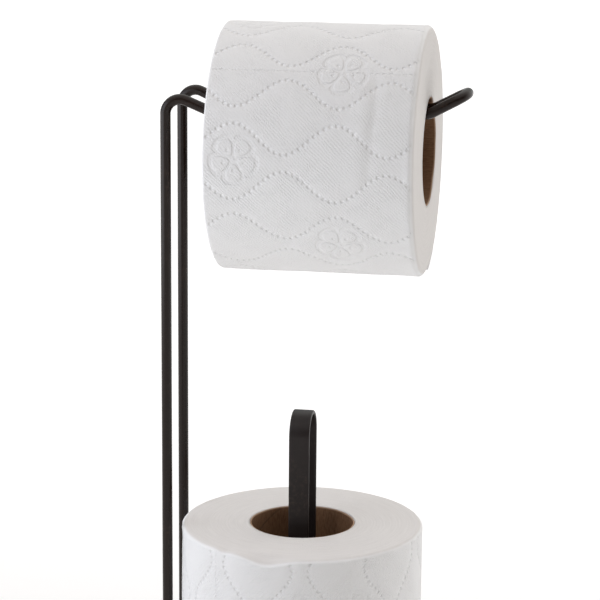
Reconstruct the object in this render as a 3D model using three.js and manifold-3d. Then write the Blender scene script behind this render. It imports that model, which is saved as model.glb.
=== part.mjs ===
// Free-standing toilet paper holder: one bent wire carries the roll in use and stands in a wire
// ring, and a flat steel strap holds four reserve rolls above it.
// Millimetres, +Z up. The origin is on the floor under the middle of the ring, +X points along
// the arm from the uprights to its tip, and +Y points to the back.

import * as THREE from "three";
import { mergeVertices } from "three/addons/utils/BufferGeometryUtils.js";
import Module from "manifold-3d";

const wasm = await Module();
wasm.setup();

// Clearance that touching and welded pieces keep between their faces.
const GAP = 0.3;

// Wire frame: arm, uprights and floor runners, bent from one length of wire.
const WIRE_R = 2.5;
const WIRE_BEND_R = 7;
const WIRE_SIDES = 12;
const UPRIGHT_HALF_SPACING = 17.8;
const ARM_TOP_ABOVE_ROLLS = 208.9;
const ARM_DROP_DEG = 23;
const ARM_RISE_DEG = 2.63;
const ARM_VALLEY_BEND_R = 25;
const ARM_CONVERGE_DEG = 5;
const ARM_END_HALF_SPACING = 9.2;
const TIP_KINK_X = 123.6;
const TIP_KINK_DROP = 4.3;
const TIP_RISE_DEG = 28;
const TIP_END_X = 140.4;
const TIP_HALF_WIDTH = 7.6;
const TIP_FLAT = 0.4;
// The one bent wire is held as an arm and two uprights, which meet this far under the arm's top.
const ARM_CUT_BELOW_TOP = 20;

// Base ring and its rubber feet.
const RING_R = 77;
const RING_SEGMENTS = 64;
const FOOT_UNDER_WIRE = 1.5;
const FOOT_HEIGHT = 6.2;
const FOOT_LENGTH = 16;
const FOOT_WIDTH = 9;
const FOOT_CORNER_R = 3;
const FOOT_BEVEL = 0.6;
const FOOT_ANGLES_DEG = [45, 135, 225, 315];

// Reserve strap: flat bar bent into a tall inverted U whose legs turn out over the ring.
const STRAP_WIDTH = 10;
const STRAP_THICK = 2;
const STRAP_HALF_DEPTH = 11.5;
const STRAP_ABOVE_ROLLS = 56.3;
const STRAP_FOOT_BEND_R = 4;
const STRAP_EDGE = 0.4;

// Paper rolls.
const ROLL_LENGTH = 97;
const RESERVE_PAPER_R = 59.2;
const HANGING_PAPER_R = 59;
const PAPER_EDGE_R = 1.2;
const CORE_INNER_R = 25;
const CORE_THICK = 0.6;
const ROLL_SEGMENTS = 48;
const RESERVE_ROLLS = 4;
const POST_FROM_UPRIGHTS = 63.8;
const HANGING_ROLL_FROM_UPRIGHTS = 26;
const HANGING_AXIS_BELOW_ARM = 23.3;

// Loose end of the roll in use: one sheet lying on the back of the roll.
const SHEET_THICK = 0.6;
const SHEET_LENGTH = 120;
const SHEET_START_DEG = 55;

const rad = THREE.MathUtils.degToRad;

// Levels and places worked out from the dimensions above.
const wireLevel = FOOT_UNDER_WIRE + GAP + WIRE_R;
const strapLevel = wireLevel + WIRE_R + GAP;
const rollFloor = strapLevel + STRAP_THICK + GAP;
const rollPitch = ROLL_LENGTH + GAP;
const rollsTop = rollFloor + RESERVE_ROLLS * rollPitch - GAP;
const armTop = rollsTop + ARM_TOP_ABOVE_ROLLS;
// Each upright's lower bend leans on the inner shoulder of the ring.
const shoulder = Math.sqrt((WIRE_BEND_R + 2 * WIRE_R + GAP) ** 2 - WIRE_BEND_R ** 2);
const ringAtUpright = Math.sqrt(RING_R ** 2 - UPRIGHT_HALF_SPACING ** 2);
const uprightX = -ringAtUpright + shoulder - WIRE_BEND_R;
const postX = uprightX + POST_FROM_UPRIGHTS;
const hangingAxisZ = armTop - HANGING_AXIS_BELOW_ARM;
const hangingX = uprightX + HANGING_ROLL_FROM_UPRIGHTS;

const finishes = {
  bronze_coat: new THREE.MeshStandardMaterial({ color: 0x2d2522, roughness: 0.45, metalness: 0.6 }),
  strap_coat: new THREE.MeshStandardMaterial({ color: 0x2a2423, roughness: 0.5, metalness: 0.6 }),
  foot_rubber: new THREE.MeshStandardMaterial({ color: 0x181716, roughness: 0.85, metalness: 0 }),
  tissue: new THREE.MeshStandardMaterial({ color: 0xf2f0ec, roughness: 0.95, metalness: 0 }),
  core_board: new THREE.MeshStandardMaterial({ color: 0x7a5a40, roughness: 0.9, metalness: 0 }),
};

const holder = new THREE.Group();

function add(name, geometry, finish, parent = holder) {
  const mesh = new THREE.Mesh(geometry, finishes[finish]);
  mesh.name = name;
  parent.add(mesh);
  return mesh;
}

// A path through given stations, so that straight stretches take one step and bends take many.
class StationCurve extends THREE.Curve {
  constructor(points, tangents) {
    super();
    this.points = points;
    this.tangents = tangents;
  }

  station(list, t) {
    return list[Math.round(t * (list.length - 1))].clone();
  }

  getPoint(t) {
    return this.station(this.points, t);
  }

  getPointAt(t) {
    return this.getPoint(t);
  }

  getTangentAt(t) {
    return this.station(this.tangents, t);
  }
}

// Corners [point, bend radius] become a wire path: straight runs joined by round bends.
function bentPath(corners, degreesPerStep = 15) {
  const points = [corners[0][0].clone()];
  const tangents = [corners[1][0].clone().sub(corners[0][0]).normalize()];
  for (let i = 1; i < corners.length - 1; i += 1) {
    const [corner, radius] = corners[i];
    const incoming = corner.clone().sub(corners[i - 1][0]).normalize();
    const outgoing = corners[i + 1][0].clone().sub(corner).normalize();
    const turn = incoming.angleTo(outgoing);
    const setback = radius * Math.tan(turn / 2);
    const start = corner.clone().addScaledVector(incoming, -setback);
    const inward = outgoing.clone().addScaledVector(incoming, -incoming.dot(outgoing)).normalize();
    const centre = start.clone().addScaledVector(inward, radius);
    const steps = Math.max(2, Math.ceil(turn / rad(degreesPerStep)));
    for (let step = 0; step <= steps; step += 1) {
      const angle = (turn * step) / steps;
      points.push(
        centre
          .clone()
          .addScaledVector(inward, -radius * Math.cos(angle))
          .addScaledVector(incoming, radius * Math.sin(angle)),
      );
      tangents.push(
        incoming.clone().multiplyScalar(Math.cos(angle)).addScaledVector(inward, Math.sin(angle)),
      );
    }
  }
  const last = corners.length - 1;
  points.push(corners[last][0].clone());
  tangents.push(corners[last][0].clone().sub(corners[last - 1][0]).normalize());
  return new StationCurve(points, tangents);
}

function roundSection(radius, sides) {
  const section = [];
  for (let i = 0; i < sides; i += 1) {
    const angle = (2 * Math.PI * i) / sides;
    section.push(new THREE.Vector2(radius * Math.cos(angle), radius * Math.sin(angle)));
  }
  return new THREE.Shape(section);
}

function wireAlong(path) {
  return new THREE.ExtrudeGeometry(roundSection(WIRE_R, WIRE_SIDES), {
    steps: path.points.length - 1,
    extrudePath: path,
    curveSegments: 1,
  });
}

// One leg of the wire frame: a floor runner and an upright, up to the cut under the arm.
function uprightWire(side) {
  const runnerEnd = Math.sqrt((RING_R - WIRE_R) ** 2 - (UPRIGHT_HALF_SPACING + WIRE_R) ** 2) - GAP;
  const y = side * UPRIGHT_HALF_SPACING;
  return wireAlong(
    bentPath([
      [new THREE.Vector3(runnerEnd, y, wireLevel), 0],
      [new THREE.Vector3(uprightX, y, wireLevel), WIRE_BEND_R],
      [new THREE.Vector3(uprightX, y, armTop - ARM_CUT_BELOW_TOP - GAP), 0],
    ]),
  );
}

// One side of the arm, from its cut above an upright to the middle of its tip.
function armCorners(side) {
  const drop = Math.tan(rad(ARM_DROP_DEG));
  const rise = Math.tan(rad(ARM_RISE_DEG));
  // The bend peaks at the arm's top, so its corner stands above the peak.
  const bendTurn = rad(90 + ARM_DROP_DEG);
  const cornerAbove = WIRE_BEND_R * (Math.tan(bendTurn / 2) - 1);
  // The falling and the rising run meet in a shallow valley inside the roll.
  const valleyX = (cornerAbove + TIP_KINK_DROP + rise * TIP_KINK_X) / (drop + rise);
  const valleyZ = cornerAbove - drop * valleyX;
  const valleyY = UPRIGHT_HALF_SPACING - valleyX * Math.tan(rad(ARM_CONVERGE_DEG));
  const tipZ = (TIP_END_X - TIP_KINK_X) * Math.tan(rad(TIP_RISE_DEG)) - TIP_KINK_DROP;
  const at = (x, y, z) => new THREE.Vector3(uprightX + x, side * y, armTop + z);
  return [
    [at(0, UPRIGHT_HALF_SPACING, -ARM_CUT_BELOW_TOP), 0],
    [at(0, UPRIGHT_HALF_SPACING, cornerAbove), WIRE_BEND_R],
    [at(valleyX, valleyY, valleyZ), ARM_VALLEY_BEND_R],
    [at(TIP_KINK_X, ARM_END_HALF_SPACING, -TIP_KINK_DROP), WIRE_BEND_R],
    [at(TIP_END_X, TIP_HALF_WIDTH, tipZ), TIP_HALF_WIDTH - TIP_FLAT],
  ];
}

function armWire() {
  return wireAlong(bentPath([...armCorners(1), ...armCorners(-1).reverse()]));
}

// A ring of round wire about Z, at the height of the floor runners.
function ringGeometry(wireRadius) {
  const profile = [];
  for (let i = 0; i <= WIRE_SIDES; i += 1) {
    const angle = (2 * Math.PI * (i % WIRE_SIDES)) / WIRE_SIDES;
    profile.push(
      new THREE.Vector2(RING_R + wireRadius * Math.cos(angle), wireRadius * Math.sin(angle)),
    );
  }
  return new THREE.LatheGeometry(profile, RING_SEGMENTS)
    .rotateX(Math.PI / 2)
    .translate(0, 0, wireLevel);
}

function solidOf(geometry) {
  const bare = geometry.index ? geometry.toNonIndexed() : geometry.clone();
  bare.deleteAttribute("normal");
  bare.deleteAttribute("uv");
  const merged = mergeVertices(bare, 1e-4);
  return new wasm.Manifold(
    new wasm.Mesh({
      numProp: 3,
      vertProperties: merged.attributes.position.array,
      triVerts: new Uint32Array(merged.index.array),
    }),
  );
}

function geometryOf(solid) {
  const { vertProperties, triVerts } = solid.getMesh();
  const geometry = new THREE.BufferGeometry();
  geometry.setAttribute("position", new THREE.BufferAttribute(vertProperties, 3));
  geometry.setIndex(new THREE.BufferAttribute(triVerts, 1));
  return geometry;
}

function roundedRectangle(length, width, corner) {
  const x = length / 2 - corner;
  const y = width / 2 - corner;
  const shape = new THREE.Shape();
  shape.absarc(x, y, corner, 0, Math.PI / 2);
  shape.absarc(-x, y, corner, Math.PI / 2, Math.PI);
  shape.absarc(-x, -y, corner, Math.PI, 1.5 * Math.PI);
  shape.absarc(x, -y, corner, 1.5 * Math.PI, 2 * Math.PI);
  return shape;
}

// A rubber block that snaps over the ring from below, with its groove cut by the ring itself.
function foot(angleDeg) {
  const outline = roundedRectangle(
    FOOT_WIDTH - 2 * FOOT_BEVEL,
    FOOT_LENGTH - 2 * FOOT_BEVEL,
    FOOT_CORNER_R - FOOT_BEVEL,
  );
  const block = new THREE.ExtrudeGeometry(outline, {
    depth: FOOT_HEIGHT - 2 * FOOT_BEVEL,
    bevelEnabled: true,
    bevelThickness: FOOT_BEVEL,
    bevelSize: FOOT_BEVEL,
    bevelSegments: 1,
    curveSegments: 3,
  })
    .translate(0, 0, FOOT_BEVEL)
    .translate(RING_R, 0, 0)
    .rotateZ(rad(angleDeg));
  return geometryOf(solidOf(block).subtract(solidOf(ringGeometry(WIRE_R + GAP))));
}

// Side view of the strap in its bending plane: u runs across the post, v upwards.
function strapGeometry() {
  const height = rollsTop + STRAP_ABOVE_ROLLS - strapLevel;
  const footEnd = Math.sqrt(RING_R ** 2 - postX ** 2) + 1;
  const outerR = STRAP_HALF_DEPTH;
  const innerR = STRAP_HALF_DEPTH - STRAP_THICK;
  const archV = height - outerR;
  const bendU = STRAP_HALF_DEPTH + STRAP_FOOT_BEND_R;
  const bendV = STRAP_THICK + STRAP_FOOT_BEND_R;
  const shape = new THREE.Shape();
  shape.moveTo(footEnd, 0);
  shape.lineTo(footEnd, STRAP_THICK);
  shape.lineTo(bendU, STRAP_THICK);
  shape.absarc(bendU, bendV, STRAP_FOOT_BEND_R, -Math.PI / 2, Math.PI, true);
  shape.absarc(0, archV, outerR, 0, Math.PI);
  shape.absarc(-bendU, bendV, STRAP_FOOT_BEND_R, 0, -Math.PI / 2, true);
  shape.lineTo(-footEnd, STRAP_THICK);
  shape.lineTo(-footEnd, 0);
  shape.absarc(-bendU, bendV, STRAP_FOOT_BEND_R + STRAP_THICK, -Math.PI / 2, 0);
  shape.absarc(0, archV, innerR, Math.PI, 0, true);
  shape.absarc(bendU, bendV, STRAP_FOOT_BEND_R + STRAP_THICK, Math.PI, 1.5 * Math.PI);
  return new THREE.ExtrudeGeometry(shape, {
    depth: STRAP_WIDTH - 2 * STRAP_EDGE,
    bevelEnabled: true,
    bevelThickness: STRAP_EDGE,
    bevelSize: STRAP_EDGE / 2,
    bevelOffset: -STRAP_EDGE / 2,
    bevelSegments: 1,
    curveSegments: 10,
  })
    .translate(0, 0, -STRAP_WIDTH / 2 + STRAP_EDGE)
    .rotateX(Math.PI / 2)
    .rotateZ(Math.PI / 2)
    .translate(postX, 0, strapLevel);
}

// A hollow cylinder about Z from z = 0 to the roll's length, with rounded or square edges.
function tubeGeometry(innerRadius, outerRadius, edge) {
  const corners = [
    [innerRadius, 0],
    [outerRadius - edge, 0],
    [outerRadius - 0.3 * edge, 0.3 * edge],
    [outerRadius, edge],
    [outerRadius, ROLL_LENGTH - edge],
    [outerRadius - 0.3 * edge, ROLL_LENGTH - 0.3 * edge],
    [outerRadius - edge, ROLL_LENGTH],
    [innerRadius, ROLL_LENGTH],
    [innerRadius, 0],
  ];
  const profile = corners
    .map(([r, z]) => new THREE.Vector2(r, z))
    .filter((p, i, all) => i === 0 || p.distanceTo(all[i - 1]) > 0);
  return new THREE.LatheGeometry(profile, ROLL_SEGMENTS).rotateX(Math.PI / 2);
}

function addRoll(name, paperRadius) {
  const roll = new THREE.Group();
  holder.add(roll);
  const coreOuter = CORE_INNER_R + CORE_THICK;
  add(name + "_core", tubeGeometry(CORE_INNER_R, coreOuter, 0), "core_board", roll);
  add(name + "_paper", tubeGeometry(coreOuter + GAP, paperRadius, PAPER_EDGE_R), "tissue", roll);
  return roll;
}

// The last sheet, from its perforation down over the back of the roll.
function looseSheetGeometry() {
  const inner = HANGING_PAPER_R + GAP;
  const outer = inner + SHEET_THICK;
  const start = rad(90 - SHEET_START_DEG);
  const end = start - SHEET_LENGTH / inner;
  const shape = new THREE.Shape();
  shape.absarc(0, 0, outer, start, end, true);
  shape.absarc(0, 0, inner, end, start, false);
  return new THREE.ExtrudeGeometry(shape, {
    depth: ROLL_LENGTH - 2 * PAPER_EDGE_R,
    bevelEnabled: false,
    curveSegments: 20,
  })
    .translate(0, 0, PAPER_EDGE_R)
    .rotateX(Math.PI / 2)
    .rotateZ(Math.PI / 2)
    .translate(hangingX, 0, hangingAxisZ);
}

add("arm_wire", armWire(), "bronze_coat");
add("upright_wire_rear", uprightWire(1), "bronze_coat");
add("upright_wire_near", uprightWire(-1), "bronze_coat");
add("base_ring", ringGeometry(WIRE_R), "bronze_coat");
add("reserve_strap", strapGeometry(), "strap_coat");
FOOT_ANGLES_DEG.forEach((angle, i) => add("foot_" + (i + 1), foot(angle), "foot_rubber"));

const hangingRoll = addRoll("hanging_roll", HANGING_PAPER_R);
hangingRoll.rotation.y = Math.PI / 2;
hangingRoll.position.set(hangingX, 0, hangingAxisZ);
add("hanging_roll_loose_sheet", looseSheetGeometry(), "tissue");

for (let i = 0; i < RESERVE_ROLLS; i += 1) {
  const reserve = addRoll("reserve_roll_" + (i + 1), RESERVE_PAPER_R);
  reserve.position.set(postX, 0, rollFloor + i * rollPitch);
}

export default holder;
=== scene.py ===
import math

import bmesh
import bpy
from mathutils import Matrix, Vector, noise


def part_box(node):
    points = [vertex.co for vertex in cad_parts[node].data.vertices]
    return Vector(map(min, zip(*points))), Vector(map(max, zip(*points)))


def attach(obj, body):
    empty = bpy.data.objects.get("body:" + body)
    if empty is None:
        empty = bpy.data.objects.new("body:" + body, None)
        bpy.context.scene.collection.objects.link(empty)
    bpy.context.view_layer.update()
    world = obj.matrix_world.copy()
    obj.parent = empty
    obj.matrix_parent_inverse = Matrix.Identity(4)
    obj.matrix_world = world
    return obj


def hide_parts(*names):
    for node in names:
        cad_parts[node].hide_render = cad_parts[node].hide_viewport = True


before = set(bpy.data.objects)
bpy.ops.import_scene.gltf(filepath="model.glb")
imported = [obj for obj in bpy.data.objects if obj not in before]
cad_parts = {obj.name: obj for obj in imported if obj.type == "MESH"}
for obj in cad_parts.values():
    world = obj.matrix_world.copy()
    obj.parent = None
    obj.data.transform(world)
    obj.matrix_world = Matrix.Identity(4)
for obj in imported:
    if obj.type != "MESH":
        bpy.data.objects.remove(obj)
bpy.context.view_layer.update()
mm = 0.001


# ---- Camera: a long lens a good metre away, a little above the roll in use and to its right,
# so that the roll's right end shows and the base is below the view.

camera_data = bpy.data.cameras.new("camera")
camera_data.lens = 139.3
camera_data.sensor_width = 36
camera = bpy.data.objects.new("camera", camera_data)
camera.matrix_world = (
    Matrix.Translation(Vector((178.2, -1073.0, 756.6)) * mm)
    @ Matrix.Rotation(math.radians(9.95), 4, "Z")
    @ Matrix.Rotation(math.radians(90 - 12.78), 4, "X")
    @ Matrix.Rotation(math.radians(0.46), 4, "Z")
)
bpy.context.scene.collection.objects.link(camera)
bpy.context.scene.camera = camera


# ---- Bronze coat: the baked satin finish on all the steel. It is sprayed on as powder, so it has
# a fine orange peel, a few dull patches, and a browner, thinner film where it is rubbed.

def link_or_set(tree, socket, value):
    if isinstance(value, bpy.types.NodeSocket):
        tree.links.new(value, socket)
    else:
        socket.default_value = value


def calc(tree, operation, *values, clamp=False):
    node = tree.nodes.new("ShaderNodeMath")
    node.operation = operation
    node.use_clamp = clamp
    for socket, value in zip(node.inputs, values):
        link_or_set(tree, socket, value)
    return node.outputs[0]


def fade(tree, value, start, end, low=0.0, high=1.0):
    """Runs smoothly from low at start to high at end."""
    node = tree.nodes.new("ShaderNodeMapRange")
    node.interpolation_type = "SMOOTHSTEP"
    for name, number in (("From Min", start), ("From Max", end), ("To Min", low), ("To Max", high)):
        node.inputs[name].default_value = number
    tree.links.new(value, node.inputs["Value"])
    return node.outputs["Result"]


def cloud(tree, vector, scale, detail=3.0, roughness=0.55):
    node = tree.nodes.new("ShaderNodeTexNoise")
    node.inputs["Scale"].default_value = scale
    node.inputs["Detail"].default_value = detail
    node.inputs["Roughness"].default_value = roughness
    tree.links.new(vector, node.inputs["Vector"])
    return node.outputs["Fac"]


def mix_colour(tree, factor, first, second):
    node = tree.nodes.new("ShaderNodeMix")
    node.data_type = "RGBA"
    link_or_set(tree, node.inputs["Factor"], factor)
    link_or_set(tree, node.inputs["A"], first)
    link_or_set(tree, node.inputs["B"], second)
    return node.outputs["Result"]


def new_material(name):
    material = bpy.data.materials.new(name)
    material.use_nodes = True
    tree = material.node_tree
    return material, tree, tree.nodes["Principled BSDF"]


def bump(tree, shader, height, distance, strength=1.0):
    node = tree.nodes.new("ShaderNodeBump")
    node.inputs["Distance"].default_value = distance
    node.inputs["Strength"].default_value = strength
    tree.links.new(height, node.inputs["Height"])
    tree.links.new(node.outputs["Normal"], shader.inputs["Normal"])


def new_group(name, inputs, outputs):
    group = bpy.data.node_groups.new(name, "ShaderNodeTree")
    for label, kind in inputs:
        group.interface.new_socket(label, in_out="INPUT", socket_type=kind)
    for label, kind in outputs:
        group.interface.new_socket(label, in_out="OUTPUT", socket_type=kind)
    entry = group.nodes.new("NodeGroupInput")
    leave = group.nodes.new("NodeGroupOutput")
    return group, entry.outputs, leave.inputs


def coat_wear_group():
    """Dull patches, rubbed film and orange peel of a powder coat, from a position in metres."""
    group, entry, leave = new_group(
        "coat_wear",
        [("Position", "NodeSocketVector")],
        [("Rubbed", "NodeSocketFloat"), ("Dull", "NodeSocketFloat"), ("Peel", "NodeSocketFloat")],
    )
    patches = cloud(group, entry["Position"], 38, 4)
    scuffs = cloud(group, entry["Position"], 420, 5, 0.7)
    specks = cloud(group, entry["Position"], 1500, 2)
    rubbed = calc(group, "MULTIPLY", fade(group, patches, 0.5, 0.72), fade(group, scuffs, 0.45, 0.7))
    group.links.new(rubbed, leave["Rubbed"])
    group.links.new(fade(group, patches, 0.3, 0.7), leave["Dull"])
    waves = cloud(group, entry["Position"], 900, 2)
    peel = calc(group, "ADD", waves, calc(group, "MULTIPLY", specks, 0.4))
    group.links.new(peel, leave["Peel"])
    return group


coat_wear = coat_wear_group()


def coat_material(name, colour, rubbed_colour, sheen_low, sheen_high):
    material, tree, shader = new_material(name)
    place = tree.nodes.new("ShaderNodeTexCoord").outputs["Object"]
    wear = tree.nodes.new("ShaderNodeGroup")
    wear.node_tree = coat_wear
    tree.links.new(place, wear.inputs["Position"])
    tint = mix_colour(tree, wear.outputs["Rubbed"], colour, rubbed_colour)
    tree.links.new(tint, shader.inputs["Base Color"])
    rough = fade(tree, wear.outputs["Dull"], 0, 1, sheen_low, sheen_high)
    tree.links.new(rough, shader.inputs["Roughness"])
    shader.inputs["Specular IOR Level"].default_value = 0.3
    bump(tree, shader, wear.outputs["Peel"], 0.00003, 0.4)
    return material


bronze = coat_material(
    "bronze_coat", (0.012, 0.0064, 0.0042, 1), (0.034, 0.019, 0.013, 1), 0.22, 0.31
)


# ---- Wire frame: one length of 5 mm steel wire, bent cold into a hairpin. Its rounded end is the
# tip of the arm, and its two legs are the uprights and, along the floor, the runners.

wire_r = 2.5 * mm
wire_sides = 32
near_lo, near_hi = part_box("upright_wire_near")
rear_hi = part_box("upright_wire_rear")[1]
upright_x = near_lo.x + wire_r
upright_y = rear_hi.y - wire_r
runner_z = near_lo.z + wire_r
runner_end_x = near_hi.x
# The pieces of wire in the frame part just below the arm, with a hairline between them.
hairline = 0.3 * mm
part_below_arm = 20 * mm
arm_top = near_hi.z + hairline + part_below_arm


def stretch(bm, edges, step):
    """Extrudes a section straight on and returns its new edges."""
    made = bmesh.ops.extrude_edge_only(bm, edges=edges)["geom"]
    bmesh.ops.translate(bm, vec=step, verts=[g for g in made if isinstance(g, bmesh.types.BMVert)])
    return [g for g in made if isinstance(g, bmesh.types.BMEdge) and not g.is_manifold
            and all(v in made for v in g.verts)]


def bend_bar(bm, edges, corners, bend_step=math.radians(4)):
    """Runs a section along corners of [point, bend radius], as a bending machine feeds a bar."""
    here = corners[0][0]
    for (point, radius), (beyond, _) in zip(corners[1:], corners[2:] + [(None, 0)]):
        ahead = (point - here).normalized()
        if beyond is None:
            edges = stretch(bm, edges, point - here)
            break
        onward = (beyond - point).normalized()
        turn = ahead.angle(onward)
        setback = ahead * radius * math.tan(turn / 2)
        if (point - here - setback).length > 0.01 * mm:
            edges = stretch(bm, edges, point - here - setback)
        axis = ahead.cross(onward).normalized()
        spun = bmesh.ops.spin(
            bm,
            geom=edges,
            cent=point - setback + axis.cross(ahead) * radius,
            axis=axis,
            angle=turn,
            steps=max(3, round(turn / bend_step)),
        )
        edges = [g for g in spun["geom_last"] if isinstance(g, bmesh.types.BMEdge)]
        here = point + onward * setback.length
    return edges


def finish_piece(bm, name, material, body, smooth=True):
    """Turns a bmesh into a piece that rides on a body, with its faces pointing out."""
    bmesh.ops.recalc_face_normals(bm, faces=bm.faces)
    for face in bm.faces:
        face.smooth = smooth and len(face.verts) == 4
    mesh = bpy.data.meshes.new(name)
    bm.to_mesh(mesh)
    bm.free()
    piece = bpy.data.objects.new(name, mesh)
    bpy.context.scene.collection.objects.link(piece)
    mesh.materials.append(material)
    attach(piece, body)
    return piece


def arm_side(side):
    """Corners from above one upright to the middle of the arm's tip. The wire falls to a valley
    that holds the roll, climbs a little to a kink, and turns up to the tip."""
    fall_angle, climb_angle, tip_angle = 23, 2.63, 28
    close_in_angle = 5
    top_bend, valley_bend, kink_bend = 7 * mm, 25 * mm, 7 * mm
    kink_x, kink_y, kink_z = 123.6 * mm, 9.2 * mm, -4.3 * mm
    tip_x, tip_half = 140.4 * mm, 7.6 * mm
    drop = math.tan(math.radians(fall_angle))
    rise = math.tan(math.radians(climb_angle))
    above = top_bend * (math.tan(math.radians((90 + fall_angle) / 2)) - 1)
    valley_x = (above - kink_z + rise * kink_x) / (drop + rise)
    valley_y = upright_y - valley_x * math.tan(math.radians(close_in_angle))
    tip_z = kink_z + (tip_x - kink_x) * math.tan(math.radians(tip_angle))

    def at(x, y, z):
        return Vector((upright_x + x, side * y, arm_top + z))

    return [
        (at(0, upright_y, above), top_bend),
        (at(valley_x, valley_y, above - drop * valley_x), valley_bend),
        (at(kink_x, kink_y, kink_z), kink_bend),
        (at(tip_x, tip_half, tip_z), tip_half - 0.4 * mm),
    ]


def upright_side(side):
    """Corners from the end of one runner to the foot of its upright."""
    y = side * upright_y
    foot_bend = 7 * mm
    return [
        (Vector((runner_end_x, y, runner_z)), 0),
        (Vector((upright_x, y, runner_z)), foot_bend),
    ]


wire_corners = upright_side(1) + arm_side(1)
wire_corners += arm_side(-1)[::-1] + upright_side(-1)[::-1]
bm = bmesh.new()
bmesh.ops.create_circle(
    bm,
    segments=wire_sides,
    radius=wire_r,
    matrix=Matrix.Translation(wire_corners[0][0]) @ Matrix.Rotation(math.pi / 2, 4, "Y"),
)
first_cut = bm.edges[:]
last_cut = bend_bar(bm, first_cut, wire_corners)
bmesh.ops.holes_fill(bm, edges=first_cut + last_cut)
wire_frame = finish_piece(bm, "wire_frame", bronze, "stand")
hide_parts("arm_wire", "upright_wire_rear", "upright_wire_near")


# ---- Base ring: the same wire rolled into a ring and butt-welded. The uprights lean on its
# inner shoulder, and the runners end against its front.

ring_lo, ring_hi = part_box("base_ring")
ring_r = ring_hi.x - wire_r
ring_z = (ring_lo.z + ring_hi.z) / 2
bm = bmesh.new()
bmesh.ops.create_circle(
    bm,
    segments=wire_sides,
    radius=wire_r,
    matrix=Matrix.Translation((ring_r, 0, ring_z)) @ Matrix.Rotation(math.pi / 2, 4, "X"),
)
bmesh.ops.spin(
    bm,
    geom=bm.verts[:] + bm.edges[:],
    cent=(0, 0, ring_z),
    axis=(0, 0, 1),
    angle=2 * math.pi,
    steps=192,
    use_merge=True,
)
base_ring = finish_piece(bm, "base_ring_wire", bronze, "stand")
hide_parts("base_ring")


# ---- Welds: small beads that join the wire frame to the ring, and the strap to the runners and
# the ring. They are run on before the coat is baked, so the coat covers them.

def weld_bead(bm, centre, half_size, seed):
    made = bmesh.ops.create_icosphere(bm, subdivisions=3, radius=1)["verts"]
    for vert in made:
        swell = 1 + 0.12 * noise.noise(vert.co * 1.7 + Vector((seed, 0, 0)))
        vert.co = Vector(centre) + Vector(a * b for a, b in zip(vert.co * swell, half_size))


strap_lo, strap_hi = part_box("reserve_strap")
strap_x = (strap_lo.x + strap_hi.x) / 2
bm = bmesh.new()
for side in (-1, 1):
    weld_bead(
        bm, (runner_end_x + 0.4 * mm, side * upright_y, runner_z), (2.2 * mm, 3.1 * mm, 2.7 * mm), side
    )
    shoulder_x = upright_x + 0.2 * mm
    weld_bead(
        bm, (shoulder_x, side * upright_y, ring_z + 3.0 * mm), (1.9 * mm, 3.0 * mm, 1.7 * mm), 3 + side
    )
    for edge in (-1, 1):
        weld_bead(
            bm,
            (strap_x + edge * 5.1 * mm, side * (ring_r - 1.0 * mm), strap_lo.z + 0.2 * mm),
            (1.1 * mm, 2.6 * mm, 1.2 * mm),
            8 + side + 3 * edge,
        )
        weld_bead(
            bm,
            (strap_x + edge * 5.1 * mm, side * upright_y, strap_lo.z + 0.1 * mm),
            (1.0 * mm, 2.2 * mm, 1.0 * mm),
            20 + side + 3 * edge,
        )
welds = finish_piece(bm, "weld_beads", bronze, "stand")
for face in welds.data.polygons:
    face.use_smooth = True


# ---- Reserve strap: a flat steel bar, 10 x 2 mm with rolled edges, bent into a tall inverted U.
# Its ends turn out over the runners and the ring, where they are welded.

strap_metal = coat_material(
    "strap_coat", (0.017, 0.0125, 0.0115, 1), (0.04, 0.028, 0.022, 1), 0.38, 0.52
)
strap_width = strap_hi.x - strap_lo.x
strap_thick = 2 * mm
strap_foot_bend = 5 * mm
half_span = 11.5 * mm
leg_y = half_span - strap_thick / 2
foot_z = strap_lo.z + strap_thick / 2
arch_z = strap_hi.z - strap_thick / 2
strap_corners = [
    (Vector((strap_x, strap_hi.y, foot_z)), 0),
    (Vector((strap_x, leg_y, foot_z)), strap_foot_bend),
    (Vector((strap_x, leg_y, arch_z)), leg_y),
    (Vector((strap_x, -leg_y, arch_z)), leg_y),
    (Vector((strap_x, -leg_y, foot_z)), strap_foot_bend),
    (Vector((strap_x, strap_lo.y, foot_z)), 0),
]
bm = bmesh.new()
made = bmesh.ops.create_circle(bm, cap_ends=True, segments=4, radius=math.sqrt(0.5))["verts"]
bmesh.ops.rotate(bm, verts=made, matrix=Matrix.Rotation(math.pi / 4, 3, "Z"))
bmesh.ops.scale(bm, verts=made, vec=(strap_width, strap_thick, 1))
bmesh.ops.bevel(
    bm, geom=made, offset=0.75 * mm, segments=5, profile=0.5, affect="VERTICES", material=-1
)
bmesh.ops.delete(bm, geom=bm.faces[:], context="FACES_ONLY")
bmesh.ops.transform(
    bm,
    verts=bm.verts,
    matrix=Matrix.Translation(strap_corners[0][0]) @ Matrix.Rotation(math.pi / 2, 4, "X"),
)
first_cut = bm.edges[:]
last_cut = bend_bar(bm, first_cut, strap_corners)
bmesh.ops.holes_fill(bm, edges=first_cut + last_cut)
strap = finish_piece(bm, "reserve_strap_bar", strap_metal, "stand")
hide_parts("reserve_strap")


# ---- Feet: four moulded rubber blocks, each a short arc with a round groove along its top. They
# snap over the ring from below and keep it off the floor.

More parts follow.
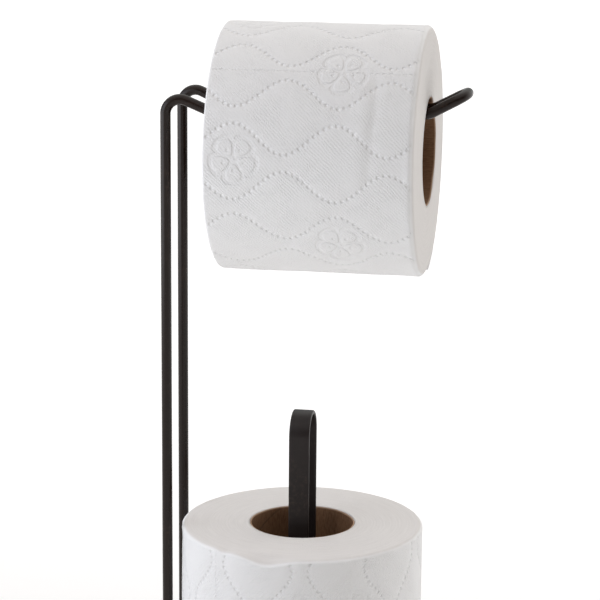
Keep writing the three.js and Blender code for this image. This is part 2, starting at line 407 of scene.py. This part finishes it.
rubber, tree, shader = new_material("foot_rubber")
place = tree.nodes.new("ShaderNodeTexCoord").outputs["Object"]
dust = cloud(tree, place, 260, 4, 0.65)
tint = mix_colour(
    tree, fade(tree, dust, 0.45, 0.75), (0.011, 0.0105, 0.01, 1), (0.05, 0.048, 0.045, 1)
)
tree.links.new(tint, shader.inputs["Base Color"])
tree.links.new(fade(tree, dust, 0.3, 0.8, 0.62, 0.9), shader.inputs["Roughness"])
bump(tree, shader, cloud(tree, place, 1300, 2), 0.00006)

foot_half = 4.5 * mm
foot_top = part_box("foot_1")[1].z
groove_r = 2.62 * mm
for i in range(4):
    bm = bmesh.new()
    angle = math.radians(45 + 90 * i)
    # The section in the plane of the ring's axis: a block with a round groove open at the top.
    mouth = math.asin((foot_top - ring_z) / groove_r)
    outline = [(-foot_half, 0), (foot_half, 0), (foot_half, foot_top)]
    for step in range(25):
        sweep = mouth - step * (math.pi + 2 * mouth) / 24
        outline.append((groove_r * math.cos(sweep), ring_z + groove_r * math.sin(sweep)))
    outline.append((-foot_half, foot_top))
    verts = [bm.verts.new((ring_r + x, 0, z)) for x, z in outline]
    bm.faces.new(verts)
    bmesh.ops.bevel(
        bm,
        geom=[v for v in verts if abs(abs(v.co.x - ring_r) - foot_half) < 0.01 * mm],
        offset=1.1 * mm,
        segments=4,
        profile=0.5,
        affect="VERTICES",
        material=-1,
    )
    bmesh.ops.delete(bm, geom=bm.faces[:], context="FACES_ONLY")
    length = 16 * mm / ring_r
    turned = Matrix.Rotation(angle - length / 2, 4, "Z")
    bmesh.ops.transform(bm, verts=bm.verts, matrix=turned)
    first_cut = bm.edges[:]
    spun = bmesh.ops.spin(
        bm, geom=first_cut, cent=(0, 0, 0), axis=(0, 0, 1), angle=length, steps=14
    )
    last_cut = [g for g in spun["geom_last"] if isinstance(g, bmesh.types.BMEdge)]
    bmesh.ops.holes_fill(bm, edges=first_cut + last_cut)
    bmesh.ops.recalc_face_normals(bm, faces=bm.faces)
    bmesh.ops.bevel(
        bm, geom=first_cut + last_cut, offset=0.5 * mm, segments=3, profile=0.5,
        affect="EDGES", material=-1,
    )
    foot = finish_piece(bm, f"foot_{i + 1}_rubber", rubber, "stand")
    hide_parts(f"foot_{i + 1}")


# ---- Tissue: soft two-ply paper, embossed by a roller with dotted waves and flowers, and wound
# tight. Its UV map runs in millimetres along the roll and round it, and past the edges of the
# outer layer it goes on down the roll's end faces.

roll_length = 97.0
# The roller's pattern in millimetres: u runs along the roll and v round it.
sheet_pattern = {
    "wave": 47.3,
    "row": 21.5,
    "swing": 6.9,
    "crest": 14.2,
    "first_row": 12.4,
    "dot_pitch": 2.96,
    "dot_r": 1.25,
    "flower_u": 15.0,
    "flower_v": 2.6,
    "perforation": 45.7,
    "sheet": 120.0,
}
petal = {
    "middle": 6.1,
    "half_length": 4.9,
    "base_half_width": 1.5,
    "spread": 0.42,
    "outline": 1.25,
    "seed_at": 5.0,
}
# How deep the pits are pressed in millimetres, and the shares of that of the lighter marks.
pit_depth = 0.46
flower_share = 0.62
perforation_share = 0.45


def line(tree, distance, half_width):
    """1 where the distance is 0, down to 0 at the half width."""
    return fade(tree, calc(tree, "ABSOLUTE", distance), half_width, half_width * 0.25)


def centred(tree, value, period):
    """The value less its nearest multiple of the period."""
    return calc(tree, "SUBTRACT", value, calc(tree, "MULTIPLY", period, calc(
        tree, "ROUND", calc(tree, "DIVIDE", value, period))))


def length2(tree, a, b):
    """The length of a flat vector."""
    squares = [calc(tree, "MULTIPLY", side, side) for side in (a, b)]
    return calc(tree, "SQRT", calc(tree, "ADD", *squares))


def nearest_row(tree, v, first, pitch):
    """The whole number of the row nearest to v."""
    return calc(tree, "ROUND", calc(tree, "DIVIDE", calc(tree, "SUBTRACT", v, first), pitch))


def dotted_waves(tree, u, v):
    """Pits along wavy rows, each row half a wave off its neighbours."""
    p = sheet_pattern
    turn = 2 * math.pi / p["wave"]
    row = nearest_row(tree, v, p["first_row"], p["row"])
    sign = calc(tree, "COSINE", calc(tree, "MULTIPLY", row, math.pi))
    swing = calc(tree, "MULTIPLY", sign, p["swing"])
    phase = calc(tree, "MULTIPLY", calc(tree, "SUBTRACT", u, p["crest"]), turn)
    wave = calc(tree, "MULTIPLY", swing, calc(tree, "COSINE", phase))
    middle = calc(tree, "ADD", calc(tree, "MULTIPLY", row, p["row"]), p["first_row"])
    off = calc(tree, "SUBTRACT", calc(tree, "SUBTRACT", v, middle), wave)
    slope = calc(tree, "MULTIPLY", calc(tree, "MULTIPLY", swing, calc(tree, "SINE", phase)), -turn)
    steep = calc(tree, "ADD", calc(tree, "MULTIPLY", slope, slope), 1.0)
    nearest = calc(tree, "ADD", u, calc(tree, "DIVIDE", calc(tree, "MULTIPLY", off, slope), steep))
    # Length run along the wave: more than u on average, and most of all on its flanks.
    mean_run, flank_run = 1.2, 0.69
    double = calc(tree, "MULTIPLY", calc(tree, "SUBTRACT", nearest, p["crest"]), 2 * turn)
    run = calc(tree, "SUBTRACT", calc(tree, "MULTIPLY", nearest, mean_run),
               calc(tree, "MULTIPLY", calc(tree, "SINE", double), flank_run))
    across = calc(tree, "DIVIDE", off, calc(tree, "SQRT", steep))
    return fade(tree, length2(tree, centred(tree, run, p["dot_pitch"]), across), p["dot_r"], 0.0)


def flowers(tree, u, v):
    """Outlined flowers of five petals, one in every other fat cell of every other band."""
    p = sheet_pattern
    band = nearest_row(tree, v, p["flower_v"], 2 * p["row"])
    y = calc(tree, "SUBTRACT", calc(tree, "SUBTRACT", v, p["flower_v"]),
             calc(tree, "MULTIPLY", band, 2 * p["row"]))
    odd = calc(tree, "ABSOLUTE", calc(tree, "MODULO", band, 2.0))
    from_first = calc(tree, "SUBTRACT", u, p["flower_u"])
    x = centred(
        tree, calc(tree, "SUBTRACT", from_first, calc(tree, "MULTIPLY", odd, p["wave"])), 2 * p["wave"]
    )
    radius = length2(tree, x, y)
    angle = calc(tree, "ADD", calc(tree, "ARCTAN2", y, x), math.pi / 2)
    fifth = 2 * math.pi / 5
    aside = centred(tree, angle, fifth)
    along = calc(tree, "MULTIPLY", radius, calc(tree, "COSINE", aside))
    across = calc(tree, "MULTIPLY", radius, calc(tree, "SINE", aside))
    # Each petal is an egg, wide end out, with a seed in it. The egg is 1 on its outline.
    opening = calc(tree, "MULTIPLY", along, petal["spread"])
    half_width = calc(tree, "ADD", opening, petal["base_half_width"])
    egg = length2(
        tree,
        calc(tree, "DIVIDE", calc(tree, "SUBTRACT", along, petal["middle"]), petal["half_length"]),
        calc(tree, "DIVIDE", across, half_width),
    )
    mean_r = 4.2
    off_outline = calc(tree, "MULTIPLY", calc(tree, "SUBTRACT", egg, 1.0), mean_r)
    seed = length2(tree, calc(tree, "SUBTRACT", along, petal["seed_at"]), across)
    return calc(tree, "MAXIMUM", line(tree, off_outline, petal["outline"]), fade(tree, seed, 1.0, 0.1))


def perforations(tree, u, v):
    """A line of short cuts across the sheet, once every sheet length."""
    p = sheet_pattern
    off = centred(tree, calc(tree, "SUBTRACT", v, p["perforation"]), p["sheet"])
    cut = fade(tree, calc(tree, "ABSOLUTE", centred(tree, u, 3.0)), 1.1, 0.8)
    return calc(tree, "MULTIPLY", line(tree, off, 0.45), cut)


def tissue_group():
    """Height of the embossed outer layer and of the wound edges, and masks of the ends."""
    group, entry, leave = new_group(
        "tissue_relief",
        [("Wrap", "NodeSocketVector"), ("Past Edge", "NodeSocketFloat")],
        [("Height", "NodeSocketFloat"), ("End", "NodeSocketFloat"), ("Rings", "NodeSocketFloat")],
    )
    split = group.nodes.new("ShaderNodeSeparateXYZ")
    group.links.new(entry["Wrap"], split.inputs[0])
    u, v = split.outputs["X"], split.outputs["Y"]
    side = fade(group, entry["Past Edge"], -0.2, -1.8)
    end = fade(group, entry["Past Edge"], -0.4, 1.6)
    pits = dotted_waves(group, u, v)
    for marks, share in ((flowers, flower_share), (perforations, perforation_share)):
        pits = calc(group, "MAXIMUM", pits, calc(group, "MULTIPLY", marks(group, u, v), share))
    pits = calc(group, "MULTIPLY", pits, side)
    # Fine knurl of the embossing roller, pressed unevenly and broken up by the soft fibres.
    fibres = cloud(group, entry["Wrap"], 0.9, 5, 0.7)
    wander = cloud(group, entry["Wrap"], 0.11, 3)
    knurl_turn = 2 * math.pi / 1.78
    knurl_u = calc(group, "SINE", calc(group, "MULTIPLY", calc(
        group, "ADD", u, calc(group, "MULTIPLY", wander, 15)), knurl_turn))
    knurl_v = calc(group, "SINE", calc(group, "MULTIPLY", calc(
        group, "SUBTRACT", v, calc(group, "MULTIPLY", wander, 11)), knurl_turn))
    pressure = fade(group, cloud(group, entry["Wrap"], 0.07, 2), 0.35, 0.65, 0.03, 0.08)
    knurl = calc(group, "MULTIPLY", calc(group, "MULTIPLY", knurl_u, knurl_v), calc(
        group, "MULTIPLY", side, pressure))
    # Wound edges: thin rings that run round the face and wander a little.
    stretched = group.nodes.new("ShaderNodeCombineXYZ")
    group.links.new(calc(group, "MULTIPLY", u, 1.3), stretched.inputs["X"])
    group.links.new(calc(group, "MULTIPLY", v, 0.035), stretched.inputs["Y"])
    rings = cloud(group, stretched.outputs[0], 1.0, 4, 0.6)
    face = calc(group, "MULTIPLY", calc(group, "MULTIPLY", rings, end), 0.12)
    height = calc(group, "ADD", knurl, calc(group, "ADD", calc(group, "MULTIPLY", fibres, 0.16), face))
    height = calc(group, "SUBTRACT", height, calc(group, "MULTIPLY", pits, pit_depth))
    group.links.new(height, leave["Height"])
    group.links.new(end, leave["End"])
    group.links.new(rings, leave["Rings"])
    return group


tissue_relief = tissue_group()
tissue, tree, shader = new_material("tissue")
wrap = tree.nodes.new("ShaderNodeUVMap")
wrap.uv_map = "wrap"
relief = tree.nodes.new("ShaderNodeGroup")
relief.node_tree = tissue_relief
tree.links.new(wrap.outputs["UV"], relief.inputs["Wrap"])
past_edge = tree.nodes.new("ShaderNodeAttribute")
past_edge.attribute_name = "past_edge"
tree.links.new(past_edge.outputs["Fac"], relief.inputs["Past Edge"])
mottle = cloud(tree, wrap.outputs["UV"], 0.06, 3)
paper_white = mix_colour(tree, mottle, (0.83, 0.825, 0.82, 1), (0.86, 0.86, 0.86, 1))
# The end faces are painted a darker, warmer grey than the side. This is partly the wound edges' own
# tone and partly painted shade, because the ends get less light.
ring_shade = fade(tree, relief.outputs["Rings"], 0.3, 0.7)
end_tone_and_shade = mix_colour(tree, ring_shade, (0.69, 0.665, 0.645, 1), (0.73, 0.705, 0.685, 1))
tint = mix_colour(tree, relief.outputs["End"], paper_white, end_tone_and_shade)
tree.links.new(tint, shader.inputs["Base Color"])
shader.inputs["Roughness"].default_value = 0.95
shader.inputs["Specular IOR Level"].default_value = 0.15
bump(tree, shader, relief.outputs["Height"], mm)


# ---- Paper of a roll: hundreds of turns pressed into one soft body. The embossing puffs the
# outer layer between its rows, the ends are slightly coned, and their edges round over.

paper_inner = 25.9
low_round = 1.3
mesh_step = 1.15
turn_steps = 300


def puff(u, v):
    """How far the outer layer stands out at a point of the sheet, in millimetres."""
    p = sheet_pattern
    row = round((v - p["first_row"]) / p["row"])
    swing = p["swing"] * math.cos(math.pi * row)
    wave = swing * math.cos(2 * math.pi * (u - p["crest"]) / p["wave"])
    off = v - p["first_row"] - row * p["row"] - wave
    puff_height, groove = 0.22, 2.6
    return puff_height * (1 - math.exp(-((off / groove) ** 2)))


def soft(x):
    """Smooth step from 0 to 1."""
    x = min(1.0, max(0.0, x))
    return x * x * (3 - 2 * x)


def wound_paper(name, node, body, place, outer, high_round, seed, start=(0, 0), crease=None,
                dents=(), lip=0.0):
    """One roll's paper, made about local Z from 0 to the roll's length and then put in place.

    start is where the pattern begins, crease a soft fold (place, low and high end) in the outer
    layer, and dents the knocks (angle, width, depth) in the upper rim."""
    bm = bmesh.new()
    corners = [(paper_inner, 0), (outer, 0), (outer, roll_length), (paper_inner, roll_length)]
    verts = [bm.verts.new((r, 0, z)) for r, z in corners]
    for a, b in zip(verts, verts[1:] + verts[:1]):
        bm.edges.new((a, b))
    bm.faces.new(verts)
    for vert, rounding in zip(verts[1:3], (low_round, high_round)):
        bmesh.ops.bevel(
            bm, geom=[vert], offset=rounding, segments=6, profile=0.5, affect="VERTICES", material=-1
        )
    bmesh.ops.delete(bm, geom=bm.faces[:], context="FACES_ONLY")
    for edge in bm.edges[:]:
        cuts = round(edge.calc_length() / mesh_step) - 1
        inside = all(abs(v.co.x - paper_inner) < 0.01 for v in edge.verts)
        if cuts > 0 and not inside:
            bmesh.ops.subdivide_edges(bm, edges=[edge], cuts=cuts)
    bmesh.ops.spin(
        bm,
        geom=bm.verts[:] + bm.edges[:],
        cent=(0, 0, 0),
        axis=(0, 0, 1),
        angle=2 * math.pi,
        steps=turn_steps,
        use_merge=True,
    )
    # The seam, where the sheet ends, is at the back of the roll, half a turn from local +X.
    wrap_layer = bm.loops.layers.uv.new("wrap")
    for face in bm.faces:
        angles = [math.atan2(loop.vert.co.y, loop.vert.co.x) for loop in face.loops]
        crosses = max(angles) - min(angles) > math.pi
        for loop, angle in zip(face.loops, angles):
            if crosses and angle < 0:
                angle += 2 * math.pi
            inset = outer - math.hypot(loop.vert.co.x, loop.vert.co.y)
            along = loop.vert.co.z + (inset if loop.vert.co.z > roll_length / 2 else -inset)
            loop[wrap_layer].uv = (along + start[0], (start[1] - angle) * outer)
    past_edge = bm.verts.layers.float.new("past_edge")
    shift = Vector((seed * 13.7, seed * 5.1, 0))
    for vert in bm.verts:
        x, y, z = vert.co
        radius = math.hypot(x, y)
        angle = math.atan2(y, x)
        outward = Vector((x, y, 0)) / radius
        depth = outer - radius
        edge_round = low_round if z < roll_length / 2 else high_round
        on_side = soft(1 - depth / (edge_round * 1.2))
        near_end = min(z, roll_length - z)
        vert[past_edge] = depth - near_end
        v = (start[1] - angle) * outer
        slow = noise.noise(Vector((math.cos(angle) * 1.3, math.sin(angle) * 1.3, z / 38)) + shift)
        ripple = noise.noise(Vector((math.cos(angle) * 6, math.sin(angle) * 6, z / 14)) + shift)
        # The upper rim stands up in a soft lip with a shallow groove behind it.
        inward = roll_length - z
        rim = math.exp(-((inward - 1.8) / 1.5) ** 2) - 0.4 * math.exp(-((inward - 6) / 3) ** 2)
        rim *= lip * (1 + noise.noise(Vector((math.cos(angle) * 3, math.sin(angle) * 3, 5)) + shift))
        step = 0.3 * (angle / (2 * math.pi))
        out = 0.30 * slow + 0.10 * ripple + rim + step + puff(z + start[0], v) - 0.25
        if crease is not None:
            across, low, high = crease
            along = soft((v - low) / 14) * soft((high - v) / 14)
            bow = across + 1.6 * math.sin(v / 17)
            out -= along * 0.38 * math.exp(-((z - bow) / 2.2) ** 2)
            out += along * 0.16 * math.exp(-((z - bow + 5.5) / 3.5) ** 2)
        vert.co += outward * out * on_side
        # End faces: the turns are sunk a little, some more than others, and most by the core.
        on_face = soft(1 - near_end / edge_round) * soft((radius - paper_inner + 0.5) / 1.5)
        ring = noise.noise(Vector((radius * 0.8, math.cos(angle) * 0.5, math.sin(angle) * 0.5)) + shift)
        broad = noise.noise(Vector((math.cos(angle), math.sin(angle), radius / 25)) + shift * 2)
        sink = 0.08 * (1 + ring) + 0.25 * (1 + broad) + 0.25 * soft((56 - radius) / 26)
        for where, wide, deep in dents:
            aside = (angle - where + math.pi) % (2 * math.pi) - math.pi
            edge = soft(1 - depth / 8) * soft(1 - (roll_length - z) / 12)
            vert.co.z -= deep * math.exp(-((aside / wide) ** 2)) * edge
        vert.co.z += (sink if z < roll_length / 2 else -sink) * on_face
    bmesh.ops.transform(bm, verts=bm.verts, matrix=place @ Matrix.Scale(mm, 4))
    piece = finish_piece(bm, name, tissue, body)
    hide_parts(node)
    return piece


# ---- Core of a roll: two plies of grey-brown board wound in a spiral and glued. The seam of the
# outer ply shows as a helix, and the cut ends are slightly furred.

board, tree, shader = new_material("core_board")
wrap = tree.nodes.new("ShaderNodeUVMap")
wrap.uv_map = "wrap"
split = tree.nodes.new("ShaderNodeSeparateXYZ")
tree.links.new(wrap.outputs["UV"], split.inputs[0])
seam_slope, seam_pitch, seam_half_width = 0.62, 97.4, 0.9
helix = calc(tree, "ADD", split.outputs["X"], calc(tree, "MULTIPLY", split.outputs["Y"], seam_slope))
seam = line(tree, centred(tree, helix, seam_pitch), seam_half_width)
fibre_map = tree.nodes.new("ShaderNodeMapping")
fibre_map.inputs["Rotation"].default_value = (0, 0, math.radians(-32))
fibre_map.inputs["Scale"].default_value = (0.25, 1.6, 1)
tree.links.new(wrap.outputs["UV"], fibre_map.inputs["Vector"])
fibres = cloud(tree, fibre_map.outputs[0], 1.1, 5, 0.65)
dark_fibre, light_fibre = (0.15, 0.072, 0.034, 1), (0.225, 0.125, 0.066, 1)
brown = mix_colour(tree, fade(tree, fibres, 0.3, 0.7), dark_fibre, light_fibre)
brown = mix_colour(tree, calc(tree, "MULTIPLY", seam, 0.45), brown, (0.08, 0.042, 0.022, 1))
past_end = calc(tree, "ABSOLUTE", calc(tree, "SUBTRACT", split.outputs["X"], roll_length / 2))
cut_end = fade(tree, past_end, roll_length / 2 - 0.9, roll_length / 2 - 0.2)
brown = mix_colour(tree, cut_end, brown, (0.42, 0.28, 0.19, 1))
tree.links.new(brown, shader.inputs["Base Color"])
shader.inputs["Roughness"].default_value = 0.8
shader.inputs["Specular IOR Level"].default_value = 0.2
bump(tree, shader, calc(tree, "SUBTRACT", fibres, seam), 0.00012)


def core_tube(name, node, body, place, seed):
    """A roll's tube, made about local Z like its paper."""
    inner, outer = 25.0, 25.6
    bm = bmesh.new()
    corners = [(inner, 0), (outer, 0), (outer, roll_length), (inner, roll_length)]
    verts = [bm.verts.new((r, 0, z)) for r, z in corners]
    for a, b in zip(verts, verts[1:] + verts[:1]):
        bm.edges.new((a, b))
    bm.faces.new(verts)
    bmesh.ops.bevel(
        bm, geom=verts, offset=0.2, segments=2, profile=0.5, affect="VERTICES", material=-1
    )
    bmesh.ops.delete(bm, geom=bm.faces[:], context="FACES_ONLY")
    for edge in bm.edges[:]:
        if edge.calc_length() > 10:
            bmesh.ops.subdivide_edges(bm, edges=[edge], cuts=24)
    bmesh.ops.spin(
        bm,
        geom=bm.verts[:] + bm.edges[:],
        cent=(0, 0, 0),
        axis=(0, 0, 1),
        angle=2 * math.pi,
        steps=180,
        use_merge=True,
    )
    wrap_layer = bm.loops.layers.uv.new("wrap")
    for face in bm.faces:
        angles = [math.atan2(loop.vert.co.y, loop.vert.co.x) for loop in face.loops]
        crosses = max(angles) - min(angles) > math.pi
        for loop, angle in zip(face.loops, angles):
            if crosses and angle < 0:
                angle += 2 * math.pi
            loop[wrap_layer].uv = (loop.vert.co.z, angle * inner)
    for vert in bm.verts:
        x, y, z = vert.co
        angle = math.atan2(y, x)
        near_end = soft(1 - min(z, roll_length - z) / 6)
        which_end = round(z / roll_length)
        fray = noise.noise(
            Vector((math.cos(angle) * 2.2, math.sin(angle) * 2.2, seed * 3.3 + which_end * 7))
        )
        oval = noise.noise(Vector((math.cos(angle) * 0.8, math.sin(angle) * 0.8, z / 60 + seed)))
        vert.co.z += (0.35 if z < roll_length / 2 else -0.35) * near_end * (1 + fray)
        vert.co += Vector((x, y, 0)).normalized() * 0.1 * oval
    bmesh.ops.transform(bm, verts=bm.verts, matrix=place @ Matrix.Scale(mm, 4))
    piece = finish_piece(bm, name, board, body)
    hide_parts(node)
    return piece


# ---- Reserve rolls: four rolls of paper wound on board tubes. They are stacked loose on the
# strap's feet, and the strap stands in their cores.

reserve_outer = 59.1
roll_count = 4
for i in range(1, roll_count + 1):
    name = f"reserve_roll_{i}"
    paper_lo, paper_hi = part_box(name + "_paper")
    centre = (paper_lo + paper_hi) / 2
    front = math.radians(37 * i)
    turned = Matrix.Rotation(math.radians(-90) - front, 4, "Z")
    place = Matrix.Translation((centre.x, centre.y, paper_lo.z)) @ turned
    from_top = roll_count - i
    start = (41.5 + 11.0 * from_top, front + math.radians(10.7 + 70 * from_top))
    # The top roll's rim is knocked in at the front, and the others each in another place.
    knock = front - math.radians(7.5 + 95 * from_top)
    deep = 1.6 if from_top else 3.0
    wound_paper(
        name + "_tissue", name + "_paper", name, place, reserve_outer, high_round=2.3, seed=i,
        start=start, dents=[(knock, 0.17, deep), (knock - math.radians(22.5), 0.06, 0.8)], lip=0.15,
    )
    core_tube(name + "_tube", name + "_core", name, place, i)


# ---- Roll in use: paper wound on a board tube like the others. It hangs by its core on the two
# wires of the arm and is free to turn.

hung_lo, hung_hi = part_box("hanging_roll_core")
hung = (hung_lo + hung_hi) / 2
# Local Z runs along the arm, and local X points to the front.
lying = Matrix(((0, 0, 1), (-1, 0, 0), (0, -1, 0))).to_4x4()
hung_place = Matrix.Translation((hung_lo.x, hung.y, hung.z)) @ lying
hung_outer = 58.95
wound_paper(
    "hanging_roll_tissue", "hanging_roll_paper", "hanging_roll", hung_place, hung_outer,
    high_round=3.3, seed=7, crease=(76.5, -14, 52), lip=0.15,
)
core_tube("hanging_roll_tube", "hanging_roll_core", "hanging_roll", hung_place, seed=7)


# ---- Loose sheet: the last sheet of the roll in use, lying on its back with its torn end
# standing off a little. It is one sheet, 97 x 120 mm, still joined at its perforation.

sheet_long = sheet_pattern["sheet"]
tear_line = sheet_pattern["perforation"]
sheet_margin, sheet_wide = 0.5, 95.8
sheet_r = hung_outer + 0.2
sheet_start = math.radians(180 - 35)
bm = bmesh.new()
wrap_layer = bm.loops.layers.uv.new("wrap")
bmesh.ops.create_grid(
    bm,
    x_segments=96,
    y_segments=120,
    size=0.5,
    matrix=Matrix.Translation((0.5, 0.5, 0)),
)
past_edge = bm.verts.layers.float.new("past_edge")
for face in bm.faces:
    for loop in face.loops:
        along, down = loop.vert.co.x * roll_length, loop.vert.co.y * sheet_long
        loop[wrap_layer].uv = (along, tear_line + sheet_long - down)
for vert in bm.verts:
    along, down = sheet_margin + vert.co.x * sheet_wide, vert.co.y * sheet_long
    vert[past_edge] = -20.0
    if vert.co.y > 0.999:
        down += 0.5 * math.sin(along * 2 * math.pi / 3) + 0.4 * noise.noise(Vector((along / 6, 0, 0)))
    # It springs off the roll past the tear line, curls at its free end, and bends over the rims.
    lift = 0.45 * soft(down / 6)
    curl = 0.7 * soft((down - 88) / 32) * (0.7 + 0.5 * noise.noise(Vector((along / 30, 2.5, 0))))
    wave = 0.12 * noise.noise(Vector((along / 14, down / 18, 4))) * soft(down / 20)
    tuck = 0.5 * soft((2 - along) / 2) + 1.3 * soft((along - 93.5) / 3.2)
    radius = sheet_r + lift + curl + wave + 0.8 * puff(along, tear_line - down) - tuck
    phi = sheet_start + down / sheet_r
    vert.co = Vector((
        hung_lo.x / mm + along,
        -radius * math.cos(phi),
        hung.z / mm + radius * math.sin(phi),
    )) * mm
loose = finish_piece(bm, "hanging_roll_last_sheet", tissue, "hanging_roll")
thicken = loose.modifiers.new("two_plies", "SOLIDIFY")
thicken.thickness = 0.3 * mm
thicken.offset = 0
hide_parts("hanging_roll_loose_sheet")


# ---- Studio: a white floor that runs out of sight, soft light from above and behind, a large
# softbox on the left, level with the roll in use, and little light from the camera's side.

floor_mesh = bpy.data.meshes.new("floor")
bm = bmesh.new()
bmesh.ops.create_grid(bm, x_segments=1, y_segments=1, size=30)
bm.to_mesh(floor_mesh)
bm.free()
floor = bpy.data.objects.new("floor", floor_mesh)
bpy.context.scene.collection.objects.link(floor)
floor_finish, tree, shader = new_material("floor_white")
place = tree.nodes.new("ShaderNodeTexCoord").outputs["Object"]
speckle = cloud(tree, place, 3, 2)
tree.links.new(
    mix_colour(tree, speckle, (0.84, 0.84, 0.84, 1), (0.86, 0.86, 0.86, 1)), shader.inputs["Base Color"]
)
split = tree.nodes.new("ShaderNodeSeparateXYZ")
tree.links.new(place, split.inputs[0])
# The floor glows in two bands. The band in front of the holder is fill light from below. The band far
# behind it keeps the backdrop white.
floor_glow_front = fade(tree, split.outputs["Y"], -1.8, -0.9, 0, 0.15)
floor_glow_back = fade(tree, split.outputs["Y"], 0.6, 1.6, 0, 0.24)
tree.links.new(calc(tree, "ADD", floor_glow_front, floor_glow_back), shader.inputs["Emission Color"])
shader.inputs["Emission Strength"].default_value = 1.0
shader.inputs["Roughness"].default_value = 0.8
shader.inputs["Specular IOR Level"].default_value = 0.2
floor_mesh.materials.append(floor_finish)

world = bpy.data.worlds.new("studio")
bpy.context.scene.world = world
world.use_nodes = True
tree = world.node_tree
background = tree.nodes["Background"]
direction = tree.nodes.new("ShaderNodeTexCoord").outputs["Generated"]


def glow(direction_of, start, end, colour):
    """Light of one colour from round a direction, fading in between two cosines."""
    facing = tree.nodes.new("ShaderNodeVectorMath")
    facing.operation = "DOT_PRODUCT"
    facing.inputs[1].default_value = Vector(direction_of).normalized()
    tree.links.new(direction, facing.inputs[0])
    return mix_colour(tree, fade(tree, facing.outputs["Value"], start, end), (0, 0, 0, 1), colour)


light = glow((0, 1, 0), -0.25, 0.6, (0.44, 0.47, 0.465, 1))
for direction_of, start, end, colour in (
    ((0, 0, 1), 0.3, 0.9, (1.06, 1.01, 0.985, 1)),
    ((-1, 0, 0), 0.45, 0.95, (0.06, 0.09, 0.17, 1)),
    ((0.86, 0.51, 0), 0.6, 1.0, (1.21, 1.18, 1.165, 1)),
    ((-0.85, -0.5, 0.15), 0.75, 1.0, (0.05, 0.06, 0.07, 1)),
):
    add = tree.nodes.new("ShaderNodeVectorMath")
    add.operation = "ADD"
    tree.links.new(light, add.inputs[0])
    tree.links.new(glow(direction_of, start, end, colour), add.inputs[1])
    light = add.outputs[0]
# The backdrop itself is white from every side; only the light on the holder is directed.
seen = tree.nodes.new("ShaderNodeLightPath").outputs["Is Camera Ray"]
tree.links.new(mix_colour(tree, seen, light, (1, 1, 1, 1)), background.inputs["Color"])
background.inputs["Strength"].default_value = 1.0


def softbox(name, position, target, width, height, power, colour):
    data = bpy.data.lights.new(name, "AREA")
    data.shape = "RECTANGLE"
    data.size = width
    data.size_y = height
    data.energy = power
    data.color = colour
    lamp = bpy.data.objects.new(name, data)
    lamp.location = position
    lamp.rotation_mode = "QUATERNION"
    lamp.rotation_quaternion = (Vector(target) - Vector(position)).to_track_quat("-Z", "Y")
    bpy.context.scene.collection.objects.link(lamp)


softbox(
    "key_left", position=(-0.42, -0.24, 0.63), target=(0, 0, 0.61),
    width=0.48, height=0.40, power=1.40, colour=(0.90, 0.93, 1.0),
)

bpy.context.scene.view_settings.view_transform = "Standard"
